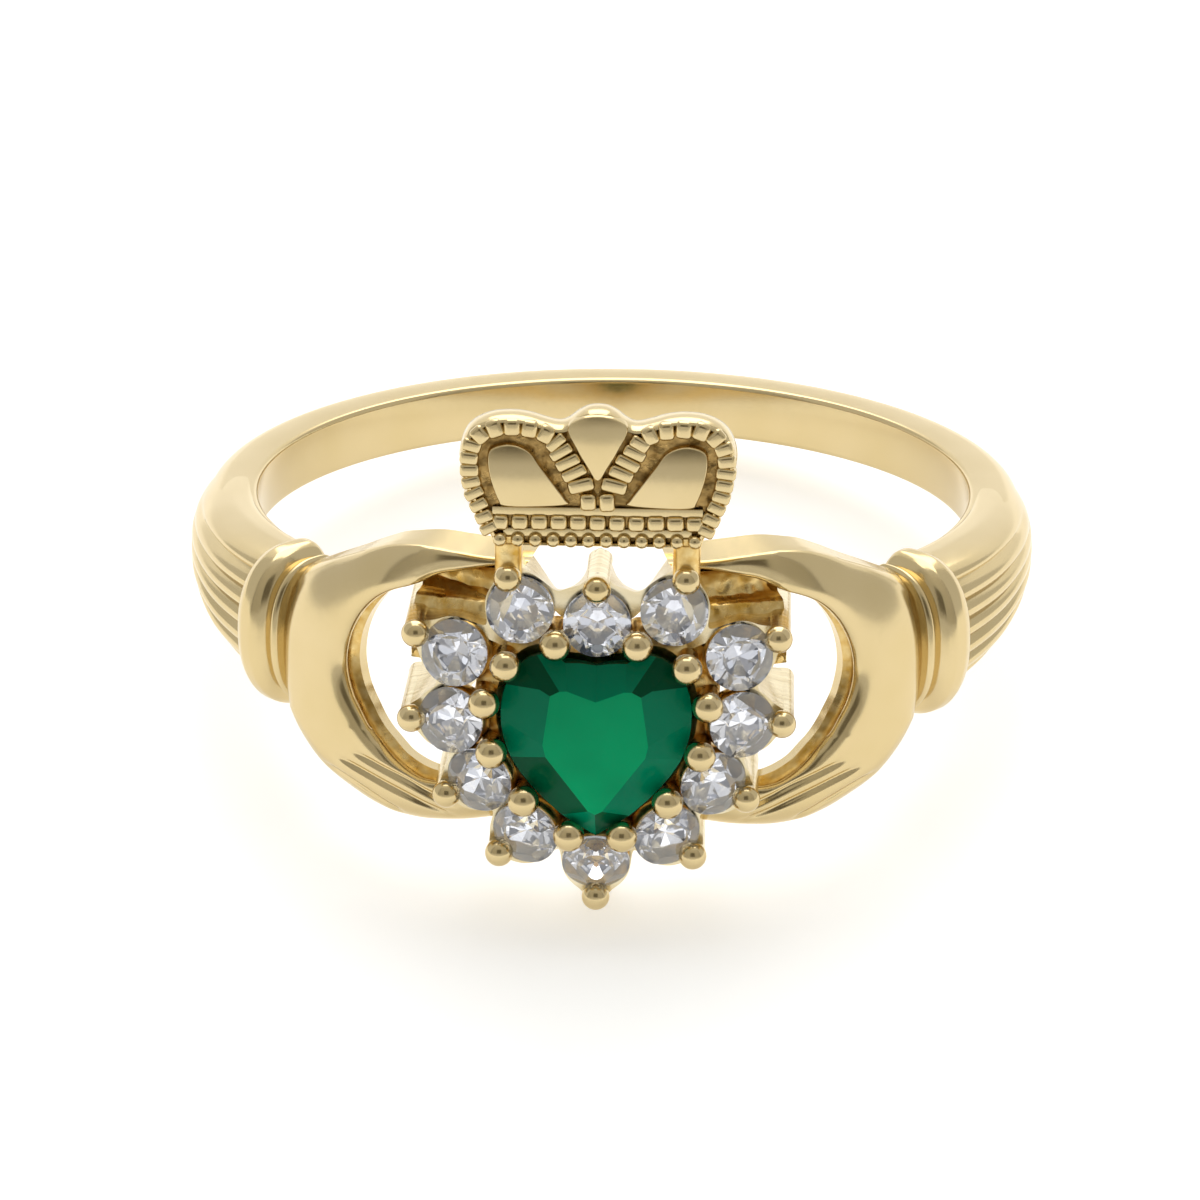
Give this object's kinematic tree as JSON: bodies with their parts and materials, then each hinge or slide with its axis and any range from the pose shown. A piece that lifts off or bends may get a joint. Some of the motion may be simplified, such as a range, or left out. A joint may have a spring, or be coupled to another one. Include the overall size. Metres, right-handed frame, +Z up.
{
  "type": "claddagh ring",
  "caption": "Gold claddagh ring: two pierced hands hold a green heart stone in a halo of small white claw-set stones under a milgrain crown, on a plain band with pleated sleeves.",
  "frame": {"origin": "centre of the finger hole, half way along the back band's width", "axes": "+Z up as the ring rests on a level surface, lying on its side with the crown up; -Y towards the front of the head; +X to the right seen from the front. The finger hole's axis leans 14.94 degrees from +Z towards +Y"},
  "size_m": [0.0202, 0.0223, 0.0127],
  "materials": {
    "yellow_gold": "polished pale yellow gold, as cast in the hollows",
    "green_stone": "polished, facet cut",
    "white_stone": "polished, facet cut"
  },
  "bodies": {
    "root": {"ring_mount": "yellow_gold", "heart_stone": "green_stone", "halo_stone_01": "white_stone", "halo_stone_02": "white_stone", "halo_stone_03": "white_stone", "halo_stone_04": "white_stone", "halo_stone_05": "white_stone", "halo_stone_06": "white_stone", "halo_stone_07": "white_stone", "halo_stone_08": "white_stone", "halo_stone_09": "white_stone", "halo_stone_10": "white_stone", "halo_stone_11": "white_stone", "halo_stone_12": "white_stone"}
  },
  "joints": []
}
